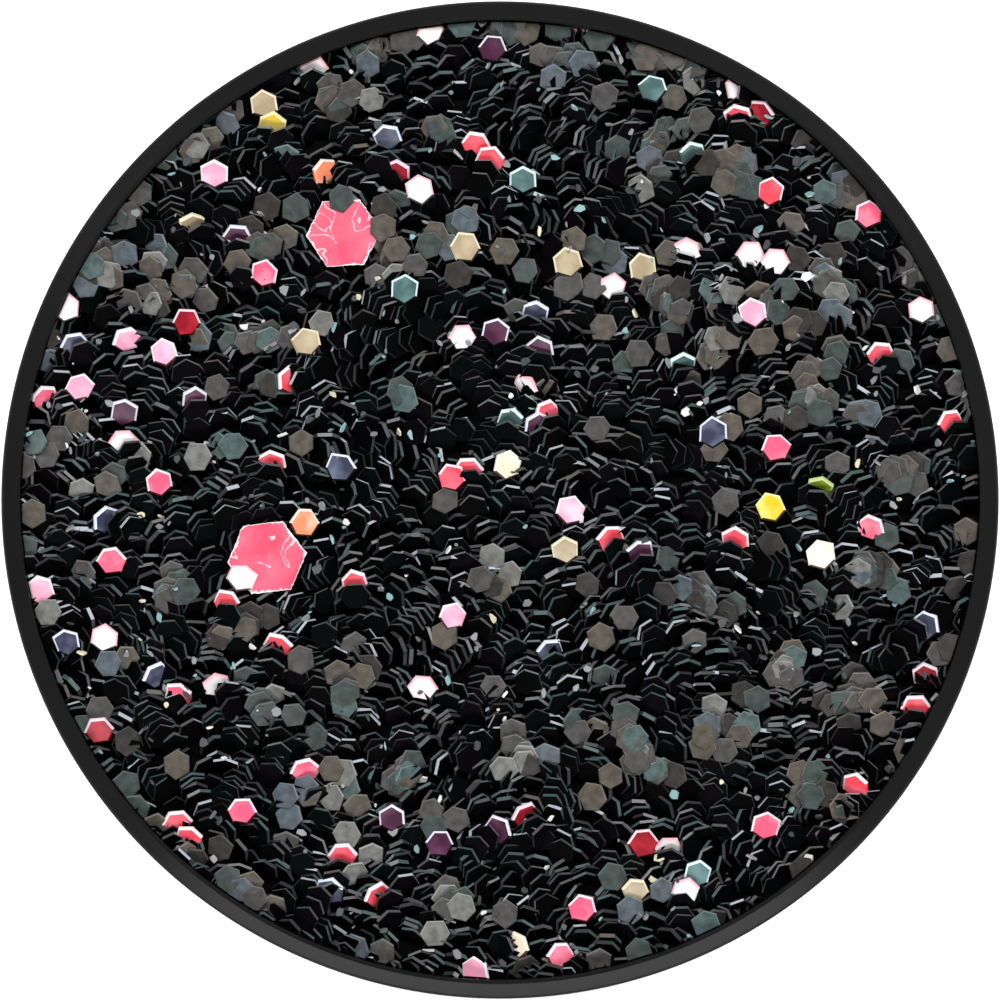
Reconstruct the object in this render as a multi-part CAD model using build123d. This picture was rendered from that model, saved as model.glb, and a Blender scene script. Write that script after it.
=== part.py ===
"""Expanding phone grip with a twist-off glitter top, modelled with its bellows pulled out.

Millimetres. +Z points from the adhesive face towards the glitter face, and the origin is the
centre of the adhesive face. From the bottom up: an adhesive pad, a two-piece base, a bellows
that folds in two stages, a twist-lock socket in its neck, and the round top that turns in it.
"""

from build123d import *
import os

# Driving dimensions
TOP_D = 39.8            # outer diameter of the top
BASE_D = 39.0           # outer diameter of the base, just hidden under the top
PAD_D = 37.6            # adhesive pad
LOWER_TRAVEL = 7.2      # the wide stage of the bellows folds this far
UPPER_TRAVEL = 8.8      # the narrow stage folds this far
FOLD_GAP = 0.45         # what stays free under a folded stage
TURN_GAP = 0.3          # between the neck and the top that turns on it
LOCK_TURN = 90          # quarter turn from locked to free, in degrees

# Heights of the layers
PAD_T = 0.8
PLATE_T = 0.8
BASE_RING_T = 1.6       # the part of the base ring above its plate
FLANGE_T = 0.8          # bellows flange, clamped between plate and ring
FOOT_RISE = 1.8         # bellows foot above the plate
TIER_T = 3.0            # stiff ring between the two bellows stages
NECK_T = 3.2
TOP_T = 3.2
LOCK_PLATE_T = 0.6
BACKING_T = 0.15        # black film under the glitter
BED_T = 1.2             # clear resin filled with flakes
COVER_T = 0.2           # clear face over the glitter
RIM_PROUD = 0.06        # the rim stands this far above the clear face

# Levels, from the floor up
PLATE_LOW = PAD_T
PLATE_TOP = PLATE_LOW + PLATE_T
BASE_TOP = PLATE_TOP + BASE_RING_T
FOOT_TOP = PLATE_TOP + FOOT_RISE
TIER_LOW = PLATE_TOP + FOLD_GAP + LOWER_TRAVEL
TIER_TOP = TIER_LOW + TIER_T
NECK_LOW = TIER_LOW + UPPER_TRAVEL
NECK_TOP = NECK_LOW + NECK_T
TOP_LOW = NECK_TOP + TURN_GAP
TOP_HIGH = TOP_LOW + TOP_T
COVER_TOP = TOP_HIGH - RIM_PROUD
BED_TOP = COVER_TOP - COVER_T
BACKING_TOP = BED_TOP - BED_T
FLOOR_TOP = BACKING_TOP - BACKING_T
LOCK_PLATE_TOP = TOP_LOW + LOCK_PLATE_T

# Radii
TOP_R = TOP_D / 2
BASE_R = BASE_D / 2
PLATE_R = 18.7
RECESS_R = 19.14        # inside of the top's rim
INSERT_R = RECESS_R - 0.04
LOCK_PLATE_R = 17.3
NECK_R = 9.2
SOCKET_R = 8.0
BOSS_R = 6.0            # twist-lock plug
BORE_R = BOSS_R + 0.06  # running clearance in the socket
LUG_R = 7.0
CHANNEL_R = LUG_R + 0.25
WALL = 0.8              # bellows wall
FOOT_R = 15.4
TIER_R_LOW = 12.7
TIER_R_TOP = 12.1
FLANGE_R = 17.6
FLANGE_HOLE_R = 13.9
RING_HOLE_R = FOOT_R + 0.05

# Twist lock
LUG_T = 1.0
LEDGE_T = 1.0           # what the lugs hook under
LUG_HALF = 20           # half the angle that a lug covers, in degrees
STOP_SPARE = 2          # free angle past each end of the turn, in degrees
ENTRY_HALF = LUG_HALF + STOP_SPARE  # half the angle of the slot that a lug drops through
SOCKET_FLOOR_T = 0.8
CHANNEL_LOW = NECK_LOW + SOCKET_FLOOR_T
CHANNEL_TOP = NECK_TOP - LEDGE_T
LUG_LOW = (CHANNEL_LOW + CHANNEL_TOP - LUG_T) / 2
BOSS_LOW = CHANNEL_LOW + 0.1
BOSS_WALL = 1.3

# Fixings
PEG_R = 0.9             # pegs that hold the lock plate under the top
PEG_HOLE_R = 1.0
PEG_CIRCLE_R = 14.0
PEG_COUNT = 4
STAKE_R = 0.35          # stakes that join the base plate to the ring
STAKE_HOLE_R = 0.38
STAKE_CIRCLE_R = 18.15
STAKE_COUNT = 6
STAKE_H = 0.9


def disc(radius, low, high):
    """A plain disc between two levels."""
    return Pos(0, 0, low) * Cylinder(radius, high - low, align=(Align.CENTER, Align.CENTER, Align.MIN))


def ring(inner, outer, low, high):
    """A flat ring between two levels."""
    return disc(outer, low, high) - disc(inner, low - 1, high + 1)


def lathe(*points):
    """The solid that a closed outline of (radius, height) points sweeps around the Z axis."""
    outline = make_face(Plane.XZ * Polyline(*points, close=True))
    return revolve(outline, Axis.Z)


def circles_at(solid, radius, level):
    """The round edges of a solid that have this radius and lie at this level."""
    def fits(edge):
        return (
            edge.geom_type == GeomType.CIRCLE
            and abs(edge.radius - radius) < 0.01
            and abs(edge.arc_center.Z - level) < 0.01
        )
    return solid.edges().filter_by(fits)


def wedge(radius, low, high, start, sweep):
    """A pie slice of a disc, from the angle start through the angle sweep, in degrees."""
    slab = Pos(0, 0, low) * Cylinder(
        radius, high - low, arc_size=sweep, align=(Align.CENTER, Align.CENTER, Align.MIN)
    )
    return Rot(0, 0, start) * slab


def around(count, radius, make):
    """Copies of what make() gives, evenly spaced on a circle."""
    return [Rot(0, 0, 360 * i / count) * Pos(radius, 0, 0) * make() for i in range(count)]


def stakes(radius, height):
    """The stakes that stand on the base plate, or the holes that take them."""
    return around(STAKE_COUNT, STAKE_CIRCLE_R, lambda: disc(radius, PLATE_TOP, PLATE_TOP + height))


def pegs(radius, low, high):
    """The pegs that hang from the top, or the holes that take them."""
    return around(PEG_COUNT, PEG_CIRCLE_R, lambda: disc(radius, low, high))


def adhesive_pad():
    """Gel disc that sticks the grip to a phone case."""
    pad = disc(PAD_D / 2, 0, PAD_T)
    return chamfer(circles_at(pad, PAD_D / 2, 0), 0.1)


def base_plate():
    """Stiff plate over the pad, with stakes that go up into the base ring."""
    plate = disc(PLATE_R, PLATE_LOW, PLATE_TOP)
    for stake in stakes(STAKE_R, STAKE_H):
        plate += stake
    return plate


def base_ring():
    """Outer ring of the base. It wraps the plate and clamps the bellows flange under its lip."""
    body = ring(RING_HOLE_R, BASE_R, PLATE_LOW, BASE_TOP)
    body -= disc(PLATE_R + 0.02, PLATE_LOW - 1, PLATE_TOP)
    body -= disc(FLANGE_R + 0.05, PLATE_TOP - 0.5, PLATE_TOP + FLANGE_T)
    for hole in stakes(STAKE_HOLE_R, STAKE_H + 0.1):
        body -= hole
    body = fillet(circles_at(body, BASE_R, BASE_TOP), 0.7)
    body = fillet(circles_at(body, BASE_R, PLATE_LOW), 0.25)
    return fillet(circles_at(body, RING_HOLE_R, BASE_TOP), 0.2)


def bellows_foot():
    """Foot of the bellows: a clamped flange and the collar that rises through the base ring."""
    return lathe(
        (FLANGE_HOLE_R, PLATE_TOP),
        (FLANGE_R, PLATE_TOP),
        (FLANGE_R, PLATE_TOP + FLANGE_T),
        (FOOT_R, PLATE_TOP + FLANGE_T),
        (FOOT_R, FOOT_TOP),
        (FOOT_R - WALL, FOOT_TOP),
        (FOOT_R - WALL, PLATE_TOP + FLANGE_T),
        (FLANGE_HOLE_R, PLATE_TOP + FLANGE_T),
    )


def web(outer_low, outer_high, low, high):
    """Thin cone of the bellows that folds, by its outer radii at two levels."""
    return lathe(
        (outer_low - WALL, low),
        (outer_low, low),
        (outer_high, high),
        (outer_high - WALL, high),
    )


def bellows_tier():
    """Stiff ring between the two stages, thicker than the cones, with a groove that starts each fold."""
    groove = 0.25
    return lathe(
        (TIER_R_LOW - WALL - 0.4, TIER_LOW),
        (TIER_R_LOW - 0.2, TIER_LOW),
        (TIER_R_LOW, TIER_LOW + 0.5),
        (TIER_R_LOW, TIER_LOW + 0.9),
        (TIER_R_LOW - 0.2 - groove, TIER_LOW + 1.2),
        (TIER_R_LOW - 0.3 - groove, TIER_TOP - 0.9),
        (TIER_R_TOP, TIER_TOP - 0.6),
        (TIER_R_TOP, TIER_TOP - 0.3),
        (TIER_R_TOP - 0.2, TIER_TOP),
        (TIER_R_TOP - 0.2 - WALL, TIER_TOP),
    )


def bellows_neck():
    """Neck of the bellows, moulded around the twist-lock socket."""
    neck = ring(SOCKET_R, NECK_R, NECK_LOW, NECK_TOP)
    return fillet(circles_at(neck, NECK_R, NECK_TOP), 0.4)


def lock_socket():
    """Hard socket in the neck: a bore, a channel for the lugs, two slots to drop them in and two stops."""
    body = disc(SOCKET_R, NECK_LOW, NECK_TOP)
    body -= disc(BORE_R, CHANNEL_LOW, NECK_TOP + 1)
    channel = ring(BOSS_R - 1, CHANNEL_R, CHANNEL_LOW, CHANNEL_TOP)
    stop_start = LOCK_TURN + ENTRY_HALF
    stop_sweep = 180 - LOCK_TURN - 2 * ENTRY_HALF
    for side in (0, 180):
        channel -= wedge(CHANNEL_R + 1, CHANNEL_LOW - 1, CHANNEL_TOP + 1, side + stop_start, stop_sweep)
    body -= channel
    for side in (0, 180):
        entry = side + LOCK_TURN - ENTRY_HALF
        body -= wedge(CHANNEL_R, CHANNEL_TOP - 0.5, NECK_TOP + 1, entry, 2 * ENTRY_HALF)
    return body


def lock_plate():
    """Underside of the top: a plate with the twist-lock plug and its two lugs, held by pegs."""
    body = disc(LOCK_PLATE_R, TOP_LOW, LOCK_PLATE_TOP)
    body += disc(BOSS_R, BOSS_LOW, TOP_LOW)
    for side in (0, 180):
        body += wedge(LUG_R, LUG_LOW, LUG_LOW + LUG_T, side - LUG_HALF, 2 * LUG_HALF)
    body -= disc(BOSS_R - BOSS_WALL, BOSS_LOW - 1, TOP_LOW)
    for hole in pegs(PEG_HOLE_R, TOP_LOW - 1, LOCK_PLATE_TOP + 1):
        body -= hole
    return body


def top_platter():
    """Black moulded tray of the top, with the narrow raised rim that frames the glitter."""
    crown = 0.22         # the rim falls away this much towards its outer edge
    lip = 0.08           # small chamfer on the rim's inner edge
    edge = 0.35          # where the sloping rim turns into the side
    under = 0.9          # soft lower edge, where fingers pull
    body = lathe(
        (0, LOCK_PLATE_TOP),
        (LOCK_PLATE_R + 0.05, LOCK_PLATE_TOP),
        (LOCK_PLATE_R + 0.05, TOP_LOW),
        (TOP_R - under, TOP_LOW),
        (TOP_R, TOP_LOW + under),
        (TOP_R, TOP_HIGH - crown - edge / 2),
        (TOP_R - edge / 2, TOP_HIGH - crown),
        (RECESS_R + 2 * lip, TOP_HIGH),
        (RECESS_R + lip, TOP_HIGH),
        (RECESS_R, TOP_HIGH - lip),
        (RECESS_R, FLOOR_TOP),
        (0, FLOOR_TOP),
    )
    body = fillet(circles_at(body, TOP_R, TOP_LOW + under), under)
    body = fillet(circles_at(body, TOP_R, TOP_HIGH - crown - edge / 2), 0.2)
    body = fillet(circles_at(body, TOP_R - edge / 2, TOP_HIGH - crown), 0.2)
    for peg in pegs(PEG_R, TOP_LOW + 0.05, FLOOR_TOP):
        body += peg
    return body


def backing_film():
    """Black film that the flakes lie on."""
    return disc(INSERT_R, FLOOR_TOP, BACKING_TOP)


def glitter_bed():
    """Clear resin that holds the flakes."""
    return disc(INSERT_R, BACKING_TOP, BED_TOP)


def clear_cover():
    """Hard clear face over the glitter."""
    cover = disc(INSERT_R, BED_TOP, COVER_TOP)
    return chamfer(circles_at(cover, INSERT_R, COVER_TOP), 0.06)


NODES = {
    "adhesive_pad": adhesive_pad(),
    "base_plate": base_plate(),
    "base_ring": base_ring(),
    "bellows_foot": bellows_foot(),
    "bellows_lower_cone": web(FOOT_R, TIER_R_LOW - 0.2, FOOT_TOP, TIER_LOW),
    "bellows_tier": bellows_tier(),
    "bellows_upper_cone": web(TIER_R_TOP - 0.2, NECK_R, TIER_TOP, NECK_LOW),
    "bellows_neck": bellows_neck(),
    "lock_socket": lock_socket(),
    "lock_plate": lock_plate(),
    "top_platter": top_platter(),
    "backing_film": backing_film(),
    "glitter_bed": glitter_bed(),
    "clear_cover": clear_cover(),
}

os.makedirs("parts", exist_ok=True)
for name, shape in NODES.items():
    export_step(shape, f"parts/{name}.step")
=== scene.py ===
"""An expanding phone grip with a glitter top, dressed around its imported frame.

Scene units are metres, +Z up. Outlines, flakes and the levels read from the frame are in
millimetres, because the piece is 40 mm across, and are scaled to metres when a mesh is made.
"""

import math
from collections import namedtuple

import bmesh
import bpy
import numpy as np
from mathutils import Matrix, Vector


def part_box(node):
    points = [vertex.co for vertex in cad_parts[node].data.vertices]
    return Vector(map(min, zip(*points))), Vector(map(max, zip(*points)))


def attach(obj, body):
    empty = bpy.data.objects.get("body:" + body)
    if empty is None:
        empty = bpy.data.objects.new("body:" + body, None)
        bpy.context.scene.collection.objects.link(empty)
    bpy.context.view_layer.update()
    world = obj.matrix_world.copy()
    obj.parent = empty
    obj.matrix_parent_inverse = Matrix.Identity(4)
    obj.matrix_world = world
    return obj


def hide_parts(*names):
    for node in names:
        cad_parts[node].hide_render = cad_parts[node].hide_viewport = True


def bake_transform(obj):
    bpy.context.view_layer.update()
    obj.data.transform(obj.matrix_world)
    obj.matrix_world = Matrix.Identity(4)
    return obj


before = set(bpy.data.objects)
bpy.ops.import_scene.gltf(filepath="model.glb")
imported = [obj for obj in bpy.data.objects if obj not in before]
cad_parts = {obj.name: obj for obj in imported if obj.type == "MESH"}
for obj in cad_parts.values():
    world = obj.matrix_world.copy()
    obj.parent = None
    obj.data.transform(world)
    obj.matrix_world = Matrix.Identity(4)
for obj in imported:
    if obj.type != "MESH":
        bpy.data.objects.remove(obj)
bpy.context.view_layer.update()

MM = 0.001
TURNS = 288                 # flats around a turned piece
SKIN = 0.8                  # wall of the bellows
FOLD_STEPS = 16             # rings along each folding stage
rng = np.random.default_rng(41)


def box_mm(node):
    """Lowest and highest corner of a CAD node, in millimetres."""
    low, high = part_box(node)
    return low / MM, high / MM


PAD_HIGH = box_mm("adhesive_pad")[1]
FOOT_LOW, FOOT_HIGH = box_mm("bellows_foot")
TIER_LOW, TIER_HIGH = box_mm("bellows_tier")
NECK_LOW, NECK_HIGH = box_mm("bellows_neck")
BED_LOW, BED_HIGH = box_mm("glitter_bed")
COVER_HIGH = box_mm("clear_cover")[1]
TOP_LOW, TOP_HIGH = box_mm("top_platter")
PLATE_HIGH = box_mm("lock_plate")[1]


# ---------------------------------------------------------------- node materials

def scaled(colour, factor):
    """A lighter or darker colour."""
    return tuple(channel * factor for channel in colour)


def new_material(name):
    """An empty node material, with its output node."""
    material = bpy.data.materials.new(name)
    material.use_nodes = True
    tree = material.node_tree
    tree.nodes.clear()
    return material, tree, tree.nodes.new("ShaderNodeOutputMaterial")


def principled(tree, output, colour, roughness, **settings):
    """A Principled shader wired to the output, with plain values set on its own sockets."""
    shader = tree.nodes.new("ShaderNodeBsdfPrincipled")
    shader.inputs["Base Color"].default_value = (*colour, 1)
    shader.inputs["Roughness"].default_value = roughness
    for socket, value in settings.items():
        shader.inputs[socket.replace("_", " ")].default_value = value
    tree.links.new(shader.outputs[0], output.inputs["Surface"])
    return shader


def noise(tree, scale, detail=3.0, roughness=0.5):
    """3D noise over the piece's own coordinates, so that it needs no unwrapping."""
    coords = tree.nodes.new("ShaderNodeTexCoord")
    texture = tree.nodes.new("ShaderNodeTexNoise")
    texture.inputs["Scale"].default_value = scale
    texture.inputs["Detail"].default_value = detail
    texture.inputs["Roughness"].default_value = roughness
    tree.links.new(coords.outputs["Object"], texture.inputs["Vector"])
    return texture


def ramp(tree, source, low, high, start=0.35, end=0.65):
    """A colour ramp between two colours, driven by a texture."""
    node = tree.nodes.new("ShaderNodeValToRGB")
    node.color_ramp.elements[0].position = start
    node.color_ramp.elements[0].color = (*low, 1)
    node.color_ramp.elements[1].position = end
    node.color_ramp.elements[1].color = (*high, 1)
    tree.links.new(source, node.inputs["Fac"])
    return node


def spread(tree, source, low, high):
    """Maps a texture's 0 to 1 onto a range of values."""
    node = tree.nodes.new("ShaderNodeMapRange")
    node.inputs["To Min"].default_value = low
    node.inputs["To Max"].default_value = high
    tree.links.new(source, node.inputs["Value"])
    return node


def bump(tree, shader, source, height_mm, strength=1.0):
    """Fine relief from a texture."""
    node = tree.nodes.new("ShaderNodeBump")
    node.inputs["Strength"].default_value = strength
    node.inputs["Distance"].default_value = height_mm * MM
    tree.links.new(source, node.inputs["Height"])
    tree.links.new(node.outputs["Normal"], shader.inputs["Normal"])
    return node


def moulded_plastic(name, colour, roughness, specular=0.45, grain_mm=0.12, depth_mm=0.003):
    """Spark-eroded mould finish: fine grain, with faint patches of polish where it is handled."""
    material, tree, output = new_material(name)
    shader = principled(tree, output, colour, roughness, Specular_IOR_Level=specular)
    grain = noise(tree, 1 / (grain_mm * MM), detail=2.0)
    bump(tree, shader, grain.outputs["Fac"], depth_mm)
    patches = noise(tree, 220, detail=4.0)
    wear_and_painted_highlight = spread(tree, patches.outputs["Fac"], roughness - 0.04, roughness + 0.04)
    tree.links.new(wear_and_painted_highlight.outputs["Result"], shader.inputs["Roughness"])
    tint = ramp(tree, patches.outputs["Fac"], colour, scaled(colour, 1.2))
    tree.links.new(tint.outputs["Color"], shader.inputs["Base Color"])
    return material


def soft_rubber():
    """Thermoplastic elastomer of the bellows: satin, with a faint skin texture and a dusty bloom."""
    material, tree, output = new_material("bellows_rubber")
    base = (0.012, 0.012, 0.013)
    shader = principled(tree, output, base, 0.52, Specular_IOR_Level=0.4, Sheen_Weight=0.12)
    skin = noise(tree, 9000, detail=4.0, roughness=0.6)
    bump(tree, shader, skin.outputs["Fac"], 0.006)
    bloom = noise(tree, 330, detail=5.0)
    tint = ramp(tree, bloom.outputs["Fac"], base, (0.022, 0.022, 0.024), 0.4, 0.75)
    tree.links.new(tint.outputs["Color"], shader.inputs["Base Color"])
    satin = spread(tree, bloom.outputs["Fac"], 0.44, 0.6)
    tree.links.new(satin.outputs["Result"], shader.inputs["Roughness"])
    return material


def tacky_gel():
    """Adhesive gel: smoke-grey, glossy, with tiny trapped bubbles and pull marks."""
    material, tree, output = new_material("adhesive_gel")
    base = (0.07, 0.07, 0.075)
    shader = principled(tree, output, base, 0.22, Specular_IOR_Level=0.5, Coat_Weight=0.3)
    shader.inputs["Coat Roughness"].default_value = 0.12
    cloud = noise(tree, 420, detail=6.0)
    tint = ramp(tree, cloud.outputs["Fac"], base, (0.12, 0.12, 0.128))
    tree.links.new(tint.outputs["Color"], shader.inputs["Base Color"])
    coords = tree.nodes.new("ShaderNodeTexCoord")
    bubbles = tree.nodes.new("ShaderNodeTexVoronoi")
    bubbles.inputs["Scale"].default_value = 1400
    tree.links.new(coords.outputs["Object"], bubbles.inputs["Vector"])
    bump(tree, shader, bubbles.outputs["Distance"], 0.03, 0.5)
    return material


def clear_face():
    """Clear acrylic: see-through, with a gloss that grows towards the edge of sight."""
    material, tree, output = new_material("clear_face")
    through = tree.nodes.new("ShaderNodeBsdfTransparent")
    gloss = tree.nodes.new("ShaderNodeBsdfGlossy")
    gloss.inputs["Roughness"].default_value = 0.08
    angle = tree.nodes.new("ShaderNodeLayerWeight")
    angle.inputs["Blend"].default_value = 0.025
    mix = tree.nodes.new("ShaderNodeMixShader")
    tree.links.new(angle.outputs["Facing"], mix.inputs[0])
    tree.links.new(through.outputs[0], mix.inputs[1])
    tree.links.new(gloss.outputs[0], mix.inputs[2])
    tree.links.new(mix.outputs[0], output.inputs["Surface"])
    return material


def flake_face(name, colour, roughness, specular):
    """Plain face of a flake. Flakes get their variety from many such finishes."""
    material, tree, output = new_material(name)
    principled(tree, output, colour, roughness, Specular_IOR_Level=specular)
    return material


def mottled_face(name, colour, light, scale=1100, span=(0.45, 0.72), specular=0.3):
    """Flake whose colour drifts towards a lighter one across it."""
    material, tree, output = new_material(name)
    shader = principled(tree, output, colour, 0.32, Specular_IOR_Level=specular)
    cloud = noise(tree, scale, detail=2.0)
    tint = ramp(tree, cloud.outputs["Fac"], colour, light, *span)
    tree.links.new(tint.outputs["Color"], shader.inputs["Base Color"])
    return material


# Body, paler drift and crease colours of the two large flakes
LARGE_CORAL = (0.95, 0.115, 0.2)
LARGE_PALE = (0.97, 0.22, 0.32)
LARGE_CREASE = (1.0, 0.72, 0.78)


def scratched_face(name, colour, light):
    """Large flake: mottled film with short, fine pale creases where it has cracked."""
    material, tree, output = new_material(name)
    shader = principled(tree, output, colour, 0.28, Specular_IOR_Level=0.3)
    creases = noise(tree, 1100, detail=1.5)
    creases.inputs["Distortion"].default_value = 0.9
    lines = ramp(tree, creases.outputs["Fac"], (0, 0, 0), (0, 0, 0), 0.59, 0.63)
    lines.color_ramp.elements.new(0.61).color = (1, 1, 1, 1)
    cloud = noise(tree, 700, detail=3.0)
    mottle = ramp(tree, cloud.outputs["Fac"], scaled(colour, 0.85), LARGE_PALE, 0.35, 0.75)
    mix = tree.nodes.new("ShaderNodeMix")
    mix.data_type = "RGBA"
    tree.links.new(lines.outputs["Color"], mix.inputs["Factor"])
    tree.links.new(mottle.outputs["Color"], mix.inputs["A"])
    mix.inputs["B"].default_value = (*light, 1)
    tree.links.new(mix.outputs["Result"], shader.inputs["Base Color"])
    bump(tree, shader, cloud.outputs["Fac"], 0.03, 0.5)
    return material


def floor_paper():
    """Plain pale floor with a trace of paper tooth."""
    material, tree, output = new_material("floor_paper")
    shader = principled(tree, output, (0.95, 0.95, 0.95), 0.9, Specular_IOR_Level=0.1)
    shader.inputs["Emission Color"].default_value = (1, 1, 1, 1)
    shader.inputs["Emission Strength"].default_value = 0.5
    tooth = noise(tree, 900, detail=4.0)
    bump(tree, shader, tooth.outputs["Fac"], 0.02, 0.3)
    return material


# ---------------------------------------------------------------- turned pieces

def arc_corner(before, corner, after, radius, steps=6):
    """Points of a round corner of this radius between two straight runs."""
    corner = np.array(corner, float)
    a = np.array(before, float) - corner
    b = np.array(after, float) - corner
    length_a, length_b = np.linalg.norm(a), np.linalg.norm(b)
    a, b = a / length_a, b / length_b
    half = math.acos(max(-1.0, min(1.0, float(a @ b)))) / 2
    cut = min(radius / math.tan(half), 0.49 * length_a, 0.49 * length_b)
    radius = cut * math.tan(half)
    centre = corner + (a + b) / np.linalg.norm(a + b) * radius / math.sin(half)
    start, end = corner + a * cut - centre, corner + b * cut - centre
    turn = math.atan2(start[0] * end[1] - start[1] * end[0], float(start @ end))
    points = []
    for i in range(steps + 1):
        angle = turn * i / steps
        c, s = math.cos(angle), math.sin(angle)
        points.append((centre[0] + c * start[0] - s * start[1], centre[1] + s * start[0] + c * start[1]))
    return points


def soften(corners):
    """An outline from (radius, height, corner radius) corners, in millimetres."""
    points = []
    count = len(corners)
    for i, (r, z, soft) in enumerate(corners):
        if soft <= 0:
            points.append((r, z))
            continue
        before, after = corners[i - 1][:2], corners[(i + 1) % count][:2]
        points.extend(arc_corner(before, (r, z), after, soft))
    return points


def turned(name, outline, material, turns=TURNS, crease=math.radians(35)):
    """A closed turned solid from an outline of (radius, height) points in millimetres."""
    angles = np.arange(turns) * 2 * math.pi / turns
    verts, rings = [], []
    for r, z in outline:
        if r < 1e-6:
            rings.append([len(verts)] * turns)
            verts.append((0, 0, z * MM))
        else:
            rings.append(list(range(len(verts), len(verts) + turns)))
            verts.extend((r * MM * math.cos(t), r * MM * math.sin(t), z * MM) for t in angles)
    faces = []
    for i, ring in enumerate(rings):
        following = rings[(i + 1) % len(rings)]
        for k in range(turns):
            n = (k + 1) % turns
            loop = [ring[k], ring[n], following[n], following[k]]
            loop = [v for j, v in enumerate(loop) if v != loop[j - 1]]
            if len(loop) > 2:
                faces.append(loop)
    mesh = bpy.data.meshes.new(name)
    mesh.from_pydata(verts, [], faces)
    return finished(name, mesh, [material], crease)


def finished(name, mesh, materials, crease):
    """Links a mesh as an object, with outward faces, its materials and soft shading."""
    work = bmesh.new()
    work.from_mesh(mesh)
    bmesh.ops.recalc_face_normals(work, faces=work.faces)
    work.to_mesh(mesh)
    work.free()
    for material in materials:
        mesh.materials.append(material)
    mesh.polygons.foreach_set("use_smooth", [True] * len(mesh.polygons))
    mesh.set_sharp_from_angle(angle=crease)
    mesh.update()
    piece = bpy.data.objects.new(name, mesh)
    bpy.context.scene.collection.objects.link(piece)
    return piece


# ---------------------------------------------------------------- flakes

Flake = namedtuple("Flake", "x y z yaw lean tilt across thick face edge")
FLAT_MM = 1.02              # common flake, across flats
THICK_MM = 0.15
STEEPEST = math.radians(78)
CARD_SHARE = 0.6            # share of the stacks that stand on edge like cards
CARD_TILTS = (60, 77)       # degrees
CARD_STEPS = (0.15, 0.24)   # from one flake of a stack to the next
DOMINO_TILTS = (26, 60)
DOMINO_STEPS = (0.22, 0.34)
DENT_MM = 0.14              # a flake may dent the backing film this deep
REST_SHARE = 0.98           # share of its footprint over which a resting flake is clear of the heap
BED_R = COVER_HIGH[0] - 0.01
BED_BOTTOM = BED_LOW[2]
BED_TOP = BED_HIGH[2]
CELL = 0.04                 # height map cell
SIDE = int(2 * (BED_R + 1) / CELL)

# Slow waves that turn the lean of the flakes over the bed: wave number, direction, phase
DRIFT = [(rng.uniform(0.35, 0.85), *(rng.random(2) * 2 * math.pi)) for _ in range(5)]

# The two large flakes: centre and width across flats, turn of the outline, lean and tilt
LARGE_FLAKES = [(-9.3, -2.3, 2.75, 0.12, -2.2, 0.06), (-6.25, 10.65, 2.6, 0.06, -1.4, 0.05)]
# Grey flakes that lie over the edge of the second large flake
COVERING = [(-6.35, 12.05), (-4.7, 10.9), (-4.15, 10.0)]


def turn(flake):
    """Rotation of a flake: its normal leans by tilt towards the compass angle lean."""
    return np.array(
        Matrix.Rotation(flake.lean, 3, "Z")
        @ Matrix.Rotation(flake.tilt, 3, "Y")
        @ Matrix.Rotation(flake.yaw - flake.lean, 3, "Z")
    )


class Pile:
    """Height map of the heap, on which each flake comes to rest."""

    def __init__(self):
        self.height = np.full((SIDE, SIDE), BED_BOTTOM)

    def footprint(self, flake, matrix):
        """Cells under a flake, which of them it covers, and how far it rises above its centre at each."""
        reach = flake.across * 0.6
        column = int((flake.x - reach + BED_R + 1) / CELL)
        row = int((flake.y - reach + BED_R + 1) / CELL)
        span = int(2 * reach / CELL) + 2
        rows = np.arange(max(row, 0), min(row + span, SIDE))
        columns = np.arange(max(column, 0), min(column + span, SIDE))
        dx = (columns + 0.5) * CELL - BED_R - 1 - flake.x
        dy = (rows + 0.5) * CELL - BED_R - 1 - flake.y
        dx, dy = np.meshgrid(dx, dy)
        back = np.linalg.inv(matrix[:2, :2])
        u = back[0, 0] * dx + back[0, 1] * dy
        v = back[1, 0] * dx + back[1, 1] * dy
        inside = np.ones(u.shape, bool)
        for k in range(3):
            angle = k * math.pi / 3
            inside &= np.abs(u * math.cos(angle) + v * math.sin(angle)) < flake.across / 2
        rise = matrix[2, 0] * u + matrix[2, 1] * v
        return rows, columns, inside, rise

    def drop(self, flake, ceiling, sink=0.0, press=0.3):
        """Lets a flake fall onto the heap, then presses it under the ceiling. None if it can't lie between
        the ceiling and the bottom."""
        matrix = turn(flake)
        rows, columns, inside, rise = self.footprint(flake, matrix)
        if not inside.any():
            return None
        half = min(flake.thick / 2 / matrix[2, 2], flake.thick)
        patch = self.height[rows[0]:rows[-1] + 1, columns[0]:columns[-1] + 1]
        need = (patch - rise + half)[inside]
        z = float(np.quantile(need, REST_SHARE)) - sink
        excess = z + float(rise[inside].max()) + half - ceiling
        if excess > press:
            return None
        z -= max(excess, 0)
        if z + float(rise[inside].min()) < BED_BOTTOM - DENT_MM:
            return None
        patch[inside] = np.maximum(patch, rise + z + half)[inside]
        return flake._replace(z=z)

    def level(self, x, y, reach=0.45):
        """Mean height of the heap around a point."""
        a = int((x - reach + BED_R + 1) / CELL)
        b = int((y - reach + BED_R + 1) / CELL)
        n = max(int(2 * reach / CELL), 1)
        return float(self.height[max(b, 0):b + n, max(a, 0):a + n].mean())


def somewhere(reach=BED_R):
    """A random point of the bed."""
    r = reach * math.sqrt(rng.random())
    angle = rng.random() * 2 * math.pi
    return r * math.cos(angle), r * math.sin(angle)


def lowest_spot(pile, tries=12):
    """A random point of the bed where the heap is low."""
    spots = [somewhere(BED_R + 0.2) for _ in range(tries)]
    return min(spots, key=lambda p: pile.level(*p))


def over_large(x, y, reach=1.75):
    """True where a flake would hide one of the large flakes."""
    return any(math.hypot(x - flake[0], y - flake[1]) < reach for flake in LARGE_FLAKES)


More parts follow.
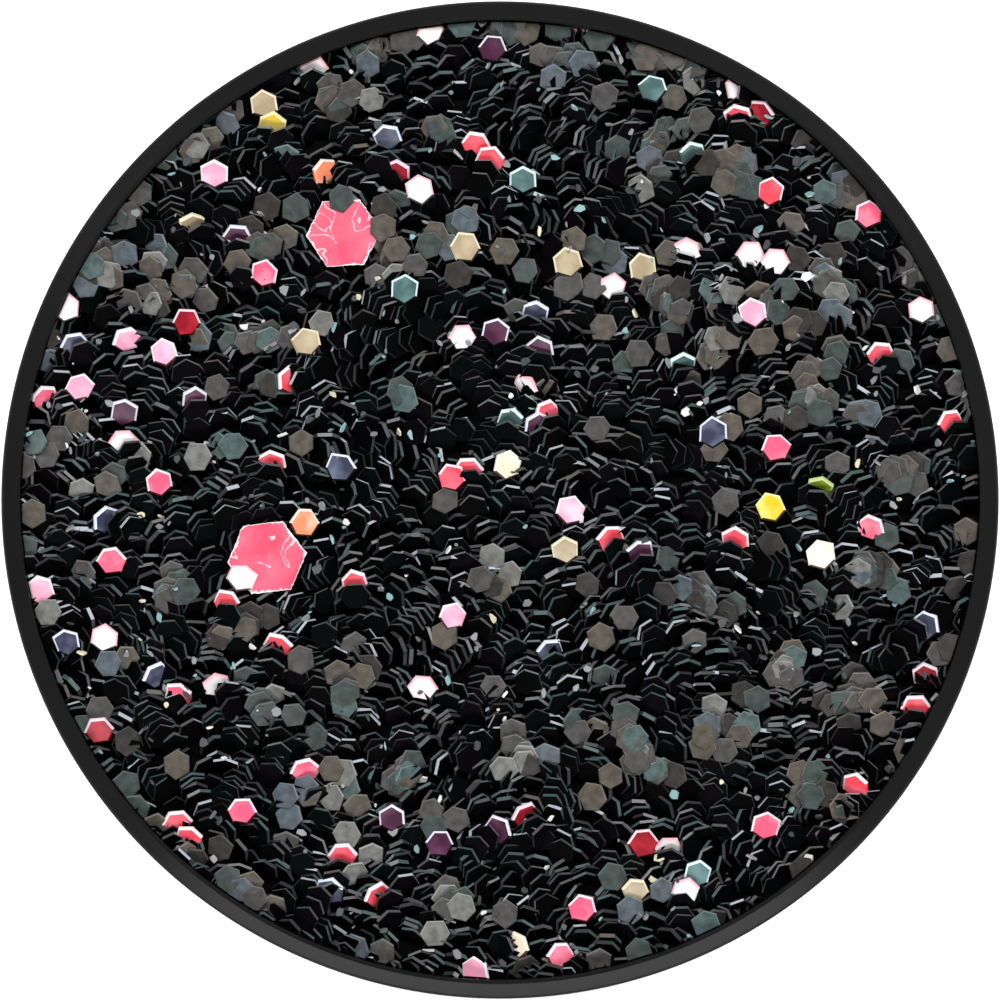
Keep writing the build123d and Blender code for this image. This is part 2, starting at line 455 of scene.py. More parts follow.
def near_accent(x, y, reach=0.62):
    """True where a flake would cut into one of the coloured flakes."""
    places = [place for accent in ACCENTS.values() for place in accent.places]
    return any(math.hypot(x - place[0], y - place[1]) < reach for place in places)


def local_lean(x, y):
    """Direction the flakes lean at a point: mostly towards -Y, drifting slowly over the bed."""
    wave = sum(math.sin(k * (x * math.cos(a) + y * math.sin(a)) + phase) for k, a, phase in DRIFT)
    return -math.pi / 2 + 0.42 * wave + rng.normal(0, 0.38)


def some_edge():
    """Slot of a random edge tone."""
    return int(rng.choice(len(EDGE_TONES), p=EDGE_SHARES))


def scatter_black(pile, count, ceiling, longest=7, press=0.3):
    """Stacks of black flakes: some lean on each other like fallen dominoes, and some stand like cards.
    Count is the number of flakes that are tried."""
    made = []
    while count > 0:
        x, y = lowest_spot(pile)
        lean = local_lean(x, y)
        on_edge = rng.random() < CARD_SHARE
        tilts, steps = (CARD_TILTS, CARD_STEPS) if on_edge else (DOMINO_TILTS, DOMINO_STEPS)
        tilt = math.radians(rng.uniform(*tilts))
        yaw = rng.random() * math.pi / 3
        step = rng.uniform(*steps)
        usual = some_edge()
        for _ in range(int(rng.integers(1, longest + 1))):
            count -= 1
            edge = usual if rng.random() < 0.6 else some_edge()
            steep = min(max(tilt + rng.normal(0, 0.1), 0.02), STEEPEST)
            flake = Flake(
                x, y, 0, yaw + rng.normal(0, 0.25), lean + rng.normal(0, 0.14), steep,
                FLAT_MM * rng.uniform(0.92, 1.06), THICK_MM * rng.uniform(0.7, 1.25),
                int(rng.integers(len(BLACK_TONES))), edge,
            )
            if math.hypot(x, y) < BED_R + 0.3:
                made.append(pile.drop(flake, ceiling, press=press))
            sideways = rng.normal(0, 0.13)
            x += step * math.cos(lean) - sideways * math.sin(lean)
            y += step * math.sin(lean) + sideways * math.cos(lean)
    return [flake for flake in made if flake]


def hexagon(across, jitter, slim=1.0):
    """Corners of a slightly uneven hexagon, or of a sliver when slim is under 1."""
    angles = math.pi / 6 + np.arange(6) * math.pi / 3
    corners = np.stack([np.cos(angles), np.sin(angles)], 1) * across / math.sqrt(3)
    return (corners + rng.normal(0, jitter * across, (6, 2))) * (1, slim)


def clip(corners, flake, matrix):
    """Cuts a flake's outline where it would pass the edge of the bed."""
    points = corners @ matrix[:2, :2].T + (flake.x, flake.y)
    if np.hypot(points[:, 0], points[:, 1]).max() <= BED_R:
        return corners
    away = np.array([flake.x, flake.y]) / max(math.hypot(flake.x, flake.y), 1e-6)
    depth = points @ away - BED_R * math.cos(flake.across / 3 / BED_R)
    kept = []
    for i in range(len(corners)):
        j = (i + 1) % len(corners)
        if depth[i] <= 0:
            kept.append(corners[i])
        if (depth[i] <= 0) != (depth[j] <= 0):
            share = depth[i] / (depth[i] - depth[j])
            kept.append(corners[i] + (corners[j] - corners[i]) * share)
    return np.array(kept)


def flake_mesh(name, flakes, materials, edge_slot, rim=0.0, jitter=0.015, slimmest=1.0):
    """One mesh of many flakes, each a thin plate. Its cut edge is bevelled by rim, and edge_slot picks the
    finish of each side from the flake and how far that side faces +Y, towards the window light, which is
    how painted highlights and shade are put on the sides."""
    verts, faces, slots = [], [], []
    for flake in flakes:
        matrix = turn(flake)
        corners = clip(hexagon(flake.across, jitter, rng.uniform(slimmest, 1)), flake, matrix)
        n = len(corners)
        if n < 3:
            continue
        half = flake.thick / 2
        centre = corners.mean(0)
        levels = [(corners, half), (corners, -half)]
        if rim:
            inner = centre + (corners - centre) * (1 - 2 * rim / flake.across)
            levels = [(inner, half), (corners, half * 0.3), (corners, -half)]
        local = np.concatenate([np.column_stack([ring, np.full(n, z)]) for ring, z in levels])
        first = len(verts)
        verts.extend(map(tuple, (local @ matrix.T + (flake.x, flake.y, flake.z)) * MM))
        faces.append([first + k for k in range(n)])
        slots.append(flake.face)
        for k in range(n):
            following = (k + 1) % n
            outward = (corners[k] + corners[following]) / 2 - centre
            side = edge_slot(flake, float(matrix[1, :2] @ outward) / np.linalg.norm(outward))
            for layer in range(len(levels) - 1):
                a, b = first + layer * n + k, first + layer * n + following
                faces.append([a, a + n, b + n, b])
                slots.append(side)
        faces.append([first + len(levels) * n - 1 - k for k in range(n)])
        slots.append(flake.face)
    return slotted_mesh(name, verts, faces, slots, materials)


def slotted_mesh(name, verts, faces, slots, materials):
    """A flat-shaded mesh object whose faces use the given material slots."""
    mesh = bpy.data.meshes.new(name)
    mesh.from_pydata(verts, [], faces)
    for material in materials:
        mesh.materials.append(material)
    mesh.polygons.foreach_set("material_index", slots)
    mesh.update()
    piece = bpy.data.objects.new(name, mesh)
    bpy.context.scene.collection.objects.link(piece)
    return piece


BLACK_TONES = {
    "flake_black": (0.0012, 0.0012, 0.0014),
    "flake_black_green": (0.001, 0.0022, 0.0021),
    "flake_black_violet": (0.0022, 0.0016, 0.0026),
}
# Tones of the cut sides of the black flakes, lighter than their faces. The brighter ones are painted on the
# sides that face +Y, towards the window light, as highlights.
EDGE_TONES = {
    "edge_dim": (0.035, 0.036, 0.039),
    "edge_grey": (0.1, 0.102, 0.106),
    "edge_green": (0.075, 0.115, 0.115),
    "edge_pale": (0.21, 0.215, 0.22),
    "edge_warm": (0.13, 0.115, 0.105),
    "edge_bright": (0.5, 0.54, 0.6),
}
EDGE_SHARES = [0.16, 0.24, 0.16, 0.21, 0.09, 0.14]

GREY_TONES = {
    "flake_grey": (0.068, 0.065, 0.062),
    "flake_grey_green": (0.05, 0.064, 0.06),
    "flake_grey_blue": (0.08, 0.098, 0.112),
    "flake_grey_warm": (0.085, 0.075, 0.062),
    "flake_grey_dark": (0.036, 0.033, 0.031),
    "flake_grey_light": (0.15, 0.15, 0.142),
    "flake_grey_teal": (0.07, 0.102, 0.1),
}
GREY_SHARES = [0.24, 0.22, 0.08, 0.17, 0.16, 0.08, 0.05]

# Patches where grey flakes lie like scales near the clear face: centre and radius in millimetres
GREY_PATCHES = [
    (6.2, 14.6, 1.9), (9.6, 13.4, 1.7), (3.4, 9.3, 1.6), (6.5, 8.2, 1.9), (10.5, 7.3, 1.6),
    (-1.6, 10.2, 1.4), (-4.3, 9.6, 1.3), (-9.8, 10.6, 1.3), (-13.6, 8.2, 2.2), (-15.8, 9.8, 1.2),
    (-9.6, 6.2, 1.5), (-7.6, 6.6, 1.1), (13.1, 8.6, 1.9), (12.6, 4.2, 2.0), (8.4, 5.9, 1.4),
    (14.6, -2.9, 1.7), (8.2, -3.9, 1.6), (-0.6, -3.4, 1.2), (-13.4, -3.8, 1.5), (-10.0, -5.2, 1.1),
    (-3.8, -11.2, 1.5), (-7.8, -11.6, 1.7), (1.2, -10.2, 1.4), (5.4, -10.4, 1.7), (8.6, -9.0, 1.8),
    (13.9, -7.8, 1.9), (11.4, -6.8, 1.3), (5.4, -15.6, 1.2), (-1.6, -16.0, 1.3), (-8.8, -8.2, 1.5),
    (-6.2, -7.4, 1.2), (16.9, 9.6, 1.1), (-2.6, 14.8, 1.0), (-6.4, 15.6, 1.3), (-12.2, 14.0, 1.2),
    (16.0, 1.2, 1.3), (12.4, -11.6, 1.4), (-15.6, 1.0, 1.2), (2.4, -17.6, 1.0), (-16.2, -9.4, 1.4),
    (2.6, 17.4, 1.3), (6.8, 17.2, 1.2), (-5.4, 17.9, 1.0), (13.6, 12.4, 1.1), (-17.9, 1.8, 1.0),
]


def grey_flake(pile, x, y, ceiling, lean, tilt, press=0.45):
    """One grey flake, less tilted than the black ones."""
    face = int(rng.choice(len(GREY_TONES), p=GREY_SHARES))
    flake = Flake(
        x, y, 0, rng.random() * math.pi / 3, lean, math.radians(abs(tilt)),
        FLAT_MM * rng.uniform(0.92, 1.04), THICK_MM * 0.6, face, face,
    )
    return pile.drop(flake, ceiling, sink=0.03, press=press)


# Grey flakes tried: anywhere, along the rim, and in a patch, as a factor on its radius squared
GREY_STRAYS, GREY_ALONG_RIM, GREY_DENSITY = 120, 80, 4.2


def scatter_grey(pile, ceiling):
    """Grey flakes, overlapping like scales in their patches, with strays elsewhere and along the rim."""
    strays = [somewhere() for _ in range(GREY_STRAYS)]
    for _ in range(GREY_ALONG_RIM):
        angle = rng.normal(math.pi / 2, 1.9)
        r = BED_R - rng.uniform(0, 0.5)
        strays.append((r * math.cos(angle), r * math.sin(angle)))
    spots = [(x, y, local_lean(x, y) + rng.normal(0, 0.7), rng.uniform(0, 40)) for x, y in strays]
    for x, y, reach in GREY_PATCHES:
        lean, tilt = local_lean(x, y) + rng.normal(0, 0.5), rng.uniform(8, 30)
        for _ in range(int(GREY_DENSITY * reach * reach)):
            angle = rng.random() * 2 * math.pi
            r = abs(rng.normal(0, 0.6)) * reach
            px, py = x + r * math.cos(angle), y + r * math.sin(angle)
            spots.append((px, py, lean + rng.normal(0, 0.25), tilt + rng.normal(0, 5)))
    made = [
        grey_flake(pile, x, y, ceiling, lean, tilt) for x, y, lean, tilt in spots
        if math.hypot(x, y) < BED_R + 0.2 and not over_large(x, y) and not near_accent(x, y)
    ]
    return [flake for flake in made if flake]


# A colour of flake: its face tone and the lighter tone it drifts to, the pale tone painted along its upper
# sides as a highlight, the share of such flakes that lie half hidden, and their places
Accent = namedtuple("Accent", "face light edge hidden places")
ACCENTS = {
    "coral": Accent((0.98, 0.075, 0.11), (1.0, 0.2, 0.27), (1.0, 0.88, 0.92), 0.75, [
        (-1.0, 14.2), (-0.4, 13.6), (10.8, 12.3), (9.5, 15.3), (-8.4, 4.8), (-9.1, 1.5), (-1.9, 0.9),
        (-1.3, 1.2), (1.9, 3.5), (15.2, 5.8), (18.0, 3.1), (-5.8, -3.3), (-10.9, -4.1), (-8.9, -5.8),
        (4.4, -1.6), (9.4, -1.6), (-12.9, -12.9), (-12.4, -13.5), (-6.3, -14.2), (-4.9, -15.8),
        (14.2, -11.4), (16.6, -8.3),
    ]),
    "rose": Accent((1.0, 0.12, 0.22), (1.0, 0.3, 0.42), (1.0, 0.85, 0.92), 0.25, [
        (-9.4, 9.0), (-18.2, 4.1), (-13.6, 0.7), (3.1, 18.8), (14.7, 11.4), (11.0, 2.1), (14.8, -1.1),
        (-15.5, -2.4), (-12.8, -7.8), (-7.8, -10.8), (-10.3, -12.4), (3.3, -16.3), (2.4, -18.2),
        (10.6, -13.0),
    ]),
    "blush": Accent((1.0, 0.38, 0.55), (1.0, 0.66, 0.78), (1.0, 0.94, 0.97), 0.15, [
        (-11.4, 13.0), (-14.9, 6.4), (-13.4, 5.9), (-16.8, 4.5), (10.1, 7.5), (2.8, -0.4), (-18.4, -3.6),
        (-1.9, -4.6), (-1.0, -18.8),
    ]),
    "white": Accent((1.0, 0.9, 0.91), (1.0, 1.0, 1.0), (1.0, 0.55, 0.62), 0.25, [
        (-2.8, 18.7), (-7.5, 17.3), (-3.2, 12.4), (-17.3, 7.7), (-1.5, 6.5), (-15.0, 2.3), (9.5, 16.5),
        (7.5, 10.0), (10.0, 9.8), (11.0, 9.5), (4.5, 8.5), (16.8, 7.6), (1.0, 4.5), (-10.3, -3.1),
        (-15.8, -5.5), (-11.3, -7.4), (-3.1, -7.5), (6.7, -13.9), (7.4, -15.6),
    ]),
    "peach": Accent((1.0, 0.3, 0.16), (1.0, 0.6, 0.42), (1.0, 0.85, 0.75), 0.5, [
        (-7.0, 13.1), (-7.8, -0.9),
    ]),
    "cream": Accent((1.0, 0.84, 0.62), (1.0, 0.95, 0.85), (1.0, 0.92, 0.78), 0.4, [
        (0.3, 1.4), (12.8, -2.2), (0.7, -17.8),
    ]),
    "tan": Accent((0.42, 0.33, 0.21), (0.6, 0.5, 0.34), (0.9, 0.8, 0.58), 0.1, [
        (-9.4, 15.8), (-12.3, 11.0), (-1.4, 10.1), (-7.7, 6.3), (2.7, 9.5), (5.7, 9.3), (2.6, -2.0),
        (5.4, -15.6),
    ]),
    "gold": Accent((0.95, 0.6, 0.03), (1.0, 0.85, 0.25), (1.0, 0.9, 0.5), 0.4, [
        (-9.1, 15.0), (10.8, -0.3),
    ]),
    "crimson": Accent((0.3, 0.008, 0.02), (0.6, 0.03, 0.05), (0.9, 0.7, 0.8), 0.6, [
        (-4.1, 13.1), (-12.5, 7.1), (10.4, 15.4), (17.0, -7.0), (-16.0, -9.2), (1.0, -12.6), (5.7, -13.7),
    ]),
    "plum": Accent((0.06, 0.014, 0.04), (0.14, 0.05, 0.1), (0.8, 0.8, 0.9), 0.25, [
        (-0.3, 18.0), (-10.5, 10.5), (-0.2, 6.7), (-12.2, 4.0), (-15.0, 3.5), (1.6, 6.0), (1.5, 3.0),
        (5.6, -2.1), (-4.3, -12.7), (-2.4, -13.7), (-0.1, -13.2),
    ]),
    "teal": Accent((0.06, 0.12, 0.12), (0.16, 0.28, 0.28), (0.75, 0.95, 0.97), 0.35, [
        (6.1, 16.4), (7.7, 13.8), (0.9, 12.8), (-3.8, 8.4), (7.3, 5.4), (0.4, 3.2), (7.9, -14.9),
    ]),
    "lilac": Accent((0.045, 0.05, 0.09), (0.16, 0.18, 0.27), (0.8, 0.87, 1.0), 0.8, [
        (-4.5, 14.5), (-17.0, 6.2), (1.4, 7.5), (8.5, 2.7), (-6.4, 1.3), (-15.7, -0.8), (17.0, -5.0),
        (-17.3, -5.7), (2.0, -6.0), (-13.7, -7.0), (-6.8, -15.6),
    ]),
    "lime": Accent((0.12, 0.18, 0.01), (0.4, 0.5, 0.05), (0.6, 0.7, 0.3), 0.6, [(12.8, 0.5)]),
}


def accent_flakes(pile, ceiling):
    """Coloured flakes at the top of the heap, and the black flakes that lie over the lower side of some."""
    coloured, black = [], []
    for index, accent in enumerate(ACCENTS.values()):
        for x, y in accent.places:
            hidden = rng.random() < accent.hidden and not over_large(x, y)
            lean = rng.normal(-math.pi / 2, 0.6)
            tilt = math.radians(rng.uniform(26, 48) if hidden else min(abs(rng.normal(0, 20)), 46))
            flake = Flake(
                x, y, 0, rng.random() * math.pi / 3, lean, tilt,
                FLAT_MM * rng.uniform(0.96, 1.06), THICK_MM, index, index,
            )
            coloured.append(pile.drop(flake, ceiling - rng.uniform(0, 0.05), sink=0.05, press=2))
            for _ in range(int(rng.integers(1, 4)) if hidden else 0):
                step, sideways = rng.uniform(0.46, 0.62), rng.normal(0, 0.14)
                x += step * math.cos(lean) - sideways * math.sin(lean)
                y += step * math.sin(lean) + sideways * math.cos(lean)
                over = Flake(
                    x, y, 0, rng.random() * math.pi / 3,
                    lean + rng.normal(0, 0.15), tilt + rng.normal(0, 0.06),
                    FLAT_MM * rng.uniform(0.92, 1.06), THICK_MM,
                    int(rng.integers(len(BLACK_TONES))), some_edge(),
                )
                black.append(pile.drop(over, ceiling, press=0.6))
    return coloured, [flake for flake in black if flake]


def large_flakes(pile, ceiling, materials):
    """Two large coral flakes with ragged, slightly bent rims, and a pale band of uneven width along the top
    and the cut side of each rim, a painted highlight.
    """
    sectors = 96
    bands = (0.1, 0.3, 0.5, 0.7, 0.86, 0.93, 0.965, 0.985, 1.0)
    flat_share, bend_mm, crumple_mm = 0.93, 0.05, 0.012
    outer = len(bands) - 1
    layer = len(bands) * sectors
    verts, faces, slots = [], [], []
    for x, y, across, yaw, lean, tilt in LARGE_FLAKES:
        resting = pile.drop(Flake(x, y, 0, yaw, lean, tilt, across, THICK_MM, 0, 0), ceiling, press=2)
        matrix = turn(resting)
        ragged = 1 + rng.normal(0, 0.009, sectors)
        # Width of the pale band along the rim, a painted highlight, varying from sector to sector.
        wear_and_painted_highlight = np.sin(np.arange(sectors) * 0.21 + rng.random() * 6) + rng.normal(0, 0.5, sectors)
        first = len(verts)
        for side in (1, -1):
            for share in bands:
                bend = bend_mm * max(share - flat_share, 0) / (1 - flat_share) if side > 0 else 0
                for k in range(sectors):
                    angle = 2 * math.pi * k / sectors
                    off = (angle % (math.pi / 3)) - math.pi / 6
                    radius = across / 2 / math.cos(off) * share * (ragged[k] if share > 0.9 else 1)
                    crumple = crumple_mm * math.sin(5 * angle + 3 * share) * share
                    height = side * THICK_MM / 2 - bend + crumple
                    point = np.array([radius * math.cos(angle), radius * math.sin(angle), height])
                    verts.append(tuple((matrix @ point + (resting.x, resting.y, resting.z)) * MM))
        for k in range(sectors):
            following = (k + 1) % sectors
            pale_from = outer - 1 - int(wear_and_painted_highlight[k] > -0.2) - int(wear_and_painted_highlight[k] > 0.8)
            for side in range(2):
                for band in range(outer):
                    a = first + side * layer + band * sectors + k
                    b = first + side * layer + band * sectors + following
                    loop = [a, a + sectors, b + sectors, b]
                    faces.append(loop if side == 0 else loop[::-1])
                    slots.append(1 if band >= pale_from and side == 0 else 0)
            a, b = first + outer * sectors + k, first + outer * sectors + following
            faces.append([a, a + layer, b + layer, b])
            slots.append(1)
        faces.append([first + k for k in range(sectors)])
        faces.append([first + layer + sectors - 1 - k for k in range(sectors)])
        slots += [0, 0]
    return slotted_mesh("large_flakes", verts, faces, slots, materials)


CRUMB_TONES = {
    "crumb_grey": (0.3, 0.31, 0.32),
    "crumb_white": (0.95, 0.95, 0.92),
    "crumb_cream": (0.9, 0.82, 0.6),
    "crumb_teal": (0.3, 0.5, 0.52),
    "crumb_dark": (0.08, 0.085, 0.09),
}
CRUMB_SHARES = [0.32, 0.1, 0.06, 0.12, 0.4]


def scatter_crumbs(pile, count):
    """Small chips of cut film that sift down between the flakes."""
    made = []
    for _ in range(count):
        x, y = somewhere()
        tone = int(rng.choice(len(CRUMB_TONES), p=CRUMB_SHARES))
        flake = Flake(
            x, y, 0, rng.random() * math.pi, rng.random() * 2 * math.pi, math.radians(rng.uniform(10, 74)),
            rng.uniform(0.12, 0.4), THICK_MM * 0.5, tone, tone,
        )
        if not over_large(x, y, 1.5):
            made.append(pile.drop(flake, BED_TOP, sink=0.04))
    return [flake for flake in made if flake]


def finishes(tones, roughness, specular, suffix="", lighter=1.0):
    """One plain finish for each named tone."""
    return [
        flake_face(name + suffix, scaled(colour, lighter), roughness, specular)
        for name, colour in tones.items()
    ]


def black_side_painted_highlight(flake, lift):
    """Painted highlight: the sides of a black flake that face +Y, towards the window light, often get the
    flake's own edge tone, the uppermost side most often, and the rest get one of the dull tones.
    """
    if lift < -0.1 or rng.random() < 0.15:
        return len(BLACK_TONES)
    painted_glint = rng.random() < (0.85 if lift > 0.7 else 0.4)
    return len(BLACK_TONES) + (flake.edge if painted_glint else int(rng.integers(3)))


def grey_side_painted_highlight(flake, lift):
    """Painted highlight: the upper sides of grey flakes, those that face +Y towards the window light, get a
    paler copy of their face tone.
    """
    return flake.face + (len(GREY_TONES) if lift > 0.2 else 0)


def accent_side_painted_light(flake, lift):
    """Painted highlight and shade: coloured flakes are pale along the sides that do not face away from the
    window light at +Y, and painted dark along the sides that face most away from it.
    """
    if lift > -0.25:
        return flake.face + len(ACCENTS)
    return flake.face + (2 * len(ACCENTS) if lift < -0.45 else 0)


def crumb_edge(flake, lift):
    """The sides of a crumb are like its face."""
    return flake.face


# How many flakes of each kind are tried: the drop refuses those that find no room
DEEP_TRIES, UPPER_TRIES, STRAY_TRIES, CRUMB_TRIES = 1500, 9500, 500, 560


def glitter():
    """The whole heap of flakes, built from the bottom up."""
    pile = Pile()
    deep = scatter_black(pile, DEEP_TRIES, BED_BOTTOM + 0.75, press=0.35)
    upper = scatter_black(pile, UPPER_TRIES, BED_TOP - 0.27, press=0.5)
    crumbs = scatter_crumbs(pile, CRUMB_TRIES)
    grey = scatter_grey(pile, BED_TOP - 0.13)
    large = large_flakes(pile, BED_TOP - 0.12, [
        scratched_face("flake_large_coral", LARGE_CORAL, LARGE_CREASE),
        # Pale finish of the rims of the large flakes, a painted highlight.
        flake_face("edge_large", (1.0, 0.9, 0.93), 0.4, 0.3),
    ])
    grey += [grey_flake(pile, x, y, BED_TOP - 0.02, 0, 4, press=2) for x, y in COVERING]
    strays = scatter_black(pile, STRAY_TRIES, BED_TOP - 0.06, longest=3, press=0.5)
    upper += [flake for flake in strays if not over_large(*flake[:2]) and not near_accent(*flake[:2])]
    coloured, covers = accent_flakes(pile, BED_TOP - 0.01)
    upper += covers

    # Black faces, then the edge tones, whose brighter ones are painted highlights on the sides that face
    # the window light.
    black = finishes(BLACK_TONES, 0.5, 0.02) + finishes(EDGE_TONES, 0.5, 0.3)
    greys = [
        mottled_face(name, scaled(tone, 0.85), scaled(tone, 1.5), 3200, (0.3, 0.7), 0.12)
        for name, tone in GREY_TONES.items()
    ]
    # Copies of the grey tones 2.2 times as light, painted on the upper sides as highlights.
    greys += finishes(GREY_TONES, 0.5, 0.2, "_edge", 2.2)
    hues = [mottled_face("flake_" + name, accent.face, accent.light) for name, accent in ACCENTS.items()]
    # Pale edge finishes, painted highlights for the upper sides, and shade finishes at 8% of the face
    # colour, painted shade for the lower sides.
    hues += [flake_face("edge_" + name, accent.edge, 0.4, 0.3) for name, accent in ACCENTS.items()]
    hues += [
        flake_face("shade_" + name, scaled(accent.face, 0.08), 0.5, 0.1)
        for name, accent in ACCENTS.items()
    ]
    chips = finishes(CRUMB_TONES, 0.4, 0.3)

    pieces = [
        flake_mesh("black_flakes_deep", deep, black, black_side_painted_highlight),
        flake_mesh("black_flakes_upper", upper, black, black_side_painted_highlight),
        flake_mesh("grey_flakes", grey, greys, grey_side_painted_highlight, rim=0.035, jitter=0.025),
        flake_mesh("coloured_flakes", coloured, hues, accent_side_painted_light, rim=0.07, jitter=0.025),
        flake_mesh("flake_crumbs", crumbs, chips, crumb_edge, jitter=0.1, slimmest=0.2),
        large,
    ]
    for piece in pieces:
        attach(piece, "top")
        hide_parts("glitter_bed")
    return pieces


# ---------------------------------------------------------------- the pieces

def platter(material):
    """Moulded tray of the top, finely turned: a sloping rim with a soft outer edge."""
    top, low, r = TOP_HIGH[2], TOP_LOW[2], TOP_HIGH[0]
    recess = COVER_HIGH[0] + 0.04
    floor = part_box("backing_film")[0].z / MM
    plate_r = PLATE_HIGH[0] + 0.05
    plate_top = PLATE_HIGH[2]
    outline = soften([
        (0, plate_top, 0),
        (plate_r, plate_top, 0.05),
        (plate_r, low, 0.06),
        (r - 0.9, low, 0.5),
        (r, low + 0.9, 0.9),
        (r, top - 0.36, 0.09),
        (r - 0.1, top - 0.26, 0.09),
        (recess + 0.15, top, 0),
        (recess + 0.07, top, 0),
        (recess, top - 0.07, 0.02),
        (recess, floor, 0.03),
        (0, floor, 0),
    ])
    piece = turned("rim_and_tray", outline, material, crease=math.radians(22))
    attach(piece, "top")
    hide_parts("top_platter")
    return piece


def lower_bellows(material):
    """Foot and wide stage of the bellows: one skin between base and tier, bowed inwards and thinned near
    both ends.
    """
    foot_r, collar = box_mm("bellows_lower_cone")[1][0], FOOT_HIGH[2]
    flange_r, flange_top = FOOT_HIGH[0], FOOT_LOW[2] + 0.8
    top_r, top = TIER_HIGH[0] - 0.2, TIER_LOW[2]
    outer, inner = [], []
    for i in range(FOLD_STEPS + 1):
        share = i / FOLD_STEPS
        z = collar + (top - collar) * share
        bow = 0.28 * math.sin(math.pi * share)
        thin = 0.16 * (math.exp(-((share - 0.06) / 0.06) ** 2) + math.exp(-((share - 0.94) / 0.06) ** 2))
        r = foot_r + (top_r - foot_r) * share - bow
        outer.append((r - thin, z))
        inner.append((r - SKIN + thin, z))
    flange_hole = flange_r - 3.6
    outline = [
        (flange_hole, FOOT_LOW[2]), (flange_r, FOOT_LOW[2]), (flange_r, flange_top), (foot_r, flange_top),
        *outer,
        *inner[::-1],
        (foot_r - SKIN, flange_top), (flange_hole, flange_top),
    ]
    piece = turned("bellows_lower", outline, material)
    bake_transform(piece)
    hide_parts("bellows_foot", "bellows_lower_cone")
    return piece


def upper_bellows(material):
    """Tier ring, narrow stage and neck of the bellows: one skin between tier and neck, bowed inwards and
    thinned near both ends.
    """
    low, high = TIER_LOW[2], TIER_HIGH[2]
    r = TIER_HIGH[0]
    neck_r, neck_low, neck_high = NECK_HIGH[0], NECK_LOW[2], NECK_HIGH[2]
    socket_r = box_mm("lock_socket")[1][0]
    web_low_r = r - 0.8
    tier_out = soften([
        (r - 1.2, low, 0.1), (r - 0.2, low, 0.15), (r, low + 0.5, 0.3), (r, low + 0.9, 0.3),
        (r - 0.45, low + 1.25, 0.3), (r - 0.55, high - 0.95, 0.3), (r - 0.6, high - 0.6, 0.3),
        (r - 0.6, high - 0.3, 0.2), (web_low_r, high, 0.1),
    ])
    outer, inner = [], []
    for i in range(1, FOLD_STEPS + 1):
        share = i / FOLD_STEPS
        z = high + (neck_low - high) * share
        bow = 0.25 * math.sin(math.pi * share)
        thin = 0.14 * (math.exp(-((share - 0.08) / 0.06) ** 2) + math.exp(-((share - 0.94) / 0.05) ** 2))
        web_r = web_low_r + (neck_r - web_low_r) * share - bow
        outer.append((web_r - thin, z))
        inner.append((web_r - SKIN + thin, z))
    neck = soften([
        (neck_r, neck_low + 0.05, 0), (neck_r, neck_high, 0.4),
        (socket_r, neck_high, 0.1), (socket_r, neck_low + 0.05, 0),
    ])
    outline = [*tier_out, *outer, *neck, *inner[::-1], (web_low_r - SKIN, high)]
    piece = turned("bellows_upper", outline, material)
    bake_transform(piece)
    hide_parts("bellows_tier", "bellows_upper_cone", "bellows_neck")
    return piece


def gel_pad(material):
    """Adhesive pad: a die-cut gel disc with a soft, slightly bulged edge."""
    r, high = PAD_HIGH[0], PAD_HIGH[2]
    outline = soften([
        (0, 0, 0), (r - 0.05, 0, 0.12), (r, high * 0.5, 0.3), (r - 0.05, high, 0.1), (0, high, 0),
    ])
    piece = turned("gel_pad", outline, material, turns=192)
    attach(piece, "base")
    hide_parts("adhesive_pad")
    return piece


def dress(nodes, material):
    """Gives CAD nodes their finish."""
    for name in nodes:
        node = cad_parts[name]
        node.data.materials.clear()
        node.data.materials.append(material)


def build_object():
    """Every visible piece of the grip."""
    rubber = soft_rubber()
    platter(moulded_plastic("rim_plastic", (0.0085, 0.0085, 0.0087), 0.25, specular=0.14))
    lower_bellows(rubber)
    upper_bellows(rubber)
    gel_pad(tacky_gel())
    dress(["base_ring", "base_plate"], moulded_plastic("base_plastic", (0.014, 0.014, 0.015), 0.5))
    dress(["lock_plate", "lock_socket"], moulded_plastic("lock_plastic", (0.02, 0.02, 0.021), 0.38))
    dress(["backing_film"], moulded_plastic("backing", (0.002, 0.002, 0.002), 0.6, specular=0.02))
    dress(["clear_cover"], clear_face())
    glitter()


# ---------------------------------------------------------------- the studio

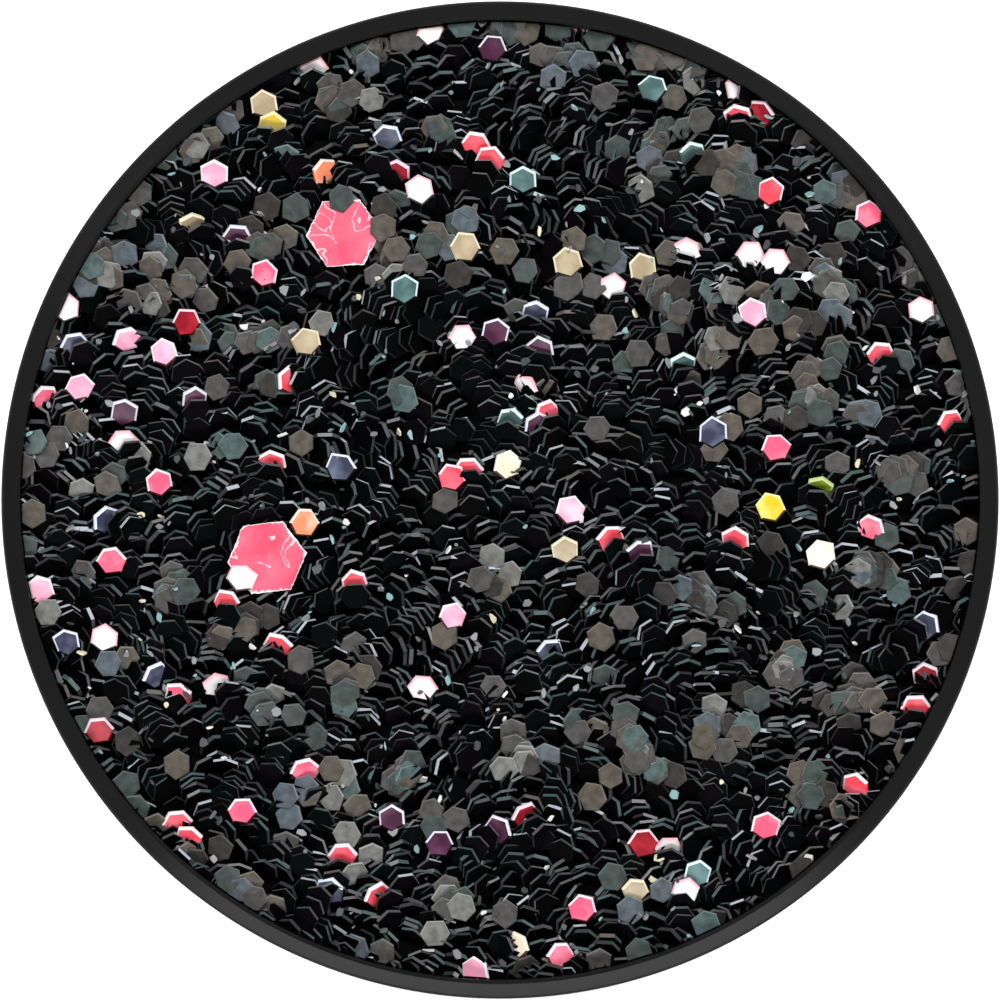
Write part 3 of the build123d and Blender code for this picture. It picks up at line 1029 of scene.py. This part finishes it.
def area_light(name, polar, azimuth, distance, size, power):
    """A softbox that faces the grip, from an angle off the vertical and a compass angle from +X."""
    data = bpy.data.lights.new(name, "AREA")
    data.shape = "RECTANGLE"
    data.size, data.size_y = size
    data.energy = power
    lamp = bpy.data.objects.new(name, data)
    polar, azimuth = math.radians(polar), math.radians(azimuth)
    flat = math.sin(polar)
    direction = Vector((flat * math.cos(azimuth), flat * math.sin(azimuth), math.cos(polar)))
    aim = Vector((0, 0, TOP_HIGH[2] * MM))
    lamp.location = aim + direction * distance
    lamp.rotation_euler = direction.to_track_quat("Z", "Y").to_euler()
    lamp.visible_camera = False
    bpy.context.scene.collection.objects.link(lamp)


def studio():
    """Pale floor, a dim sky that is darkest overhead, and softboxes."""
    half, under = 1.4, -0.02 * MM
    corners = [(-half, -half, under), (half, -half, under), (half, half, under), (-half, half, under)]
    mesh = bpy.data.meshes.new("floor")
    mesh.from_pydata(corners, [], [(0, 1, 2, 3)])
    mesh.materials.append(floor_paper())
    floor = bpy.data.objects.new("floor", mesh)
    bpy.context.scene.collection.objects.link(floor)

    world = bpy.data.worlds.new("studio")
    bpy.context.scene.world = world
    world.use_nodes = True
    tree = world.node_tree
    background = tree.nodes["Background"]
    coords = tree.nodes.new("ShaderNodeTexCoord")
    split = tree.nodes.new("ShaderNodeSeparateXYZ")
    sky = ramp(tree, split.outputs["Z"], (0.5, 0.51, 0.52), (0.05, 0.05, 0.05), 0.05, 0.9)
    tree.links.new(coords.outputs["Generated"], split.inputs[0])
    tree.links.new(sky.outputs["Color"], background.inputs["Color"])
    background.inputs["Strength"].default_value = 0.8

    area_light("window_above", 27, 90, 0.8, (1.3, 0.34), 9.0)
    area_light("fill_below", 55, -90, 0.6, (0.8, 0.18), 2.4)


def camera():
    """Looks straight down at the glitter face, which fills the picture."""
    lens, sensor = 300.0, 36.0
    fill = 0.9976           # width of the disc, as a share of the picture's
    data = bpy.data.cameras.new("camera")
    data.lens, data.sensor_width = lens, sensor
    distance = TOP_HIGH[0] * MM / (sensor / 2 / lens * fill)
    view = bpy.data.objects.new("camera", data)
    view.location = (0, 0, (TOP_HIGH[2] - 0.4) * MM + distance)
    data.clip_start, data.clip_end = 0.01, 10
    bpy.context.scene.collection.objects.link(view)
    bpy.context.scene.camera = view


build_object()
studio()
camera()
bpy.context.scene.view_settings.view_transform = "Standard"
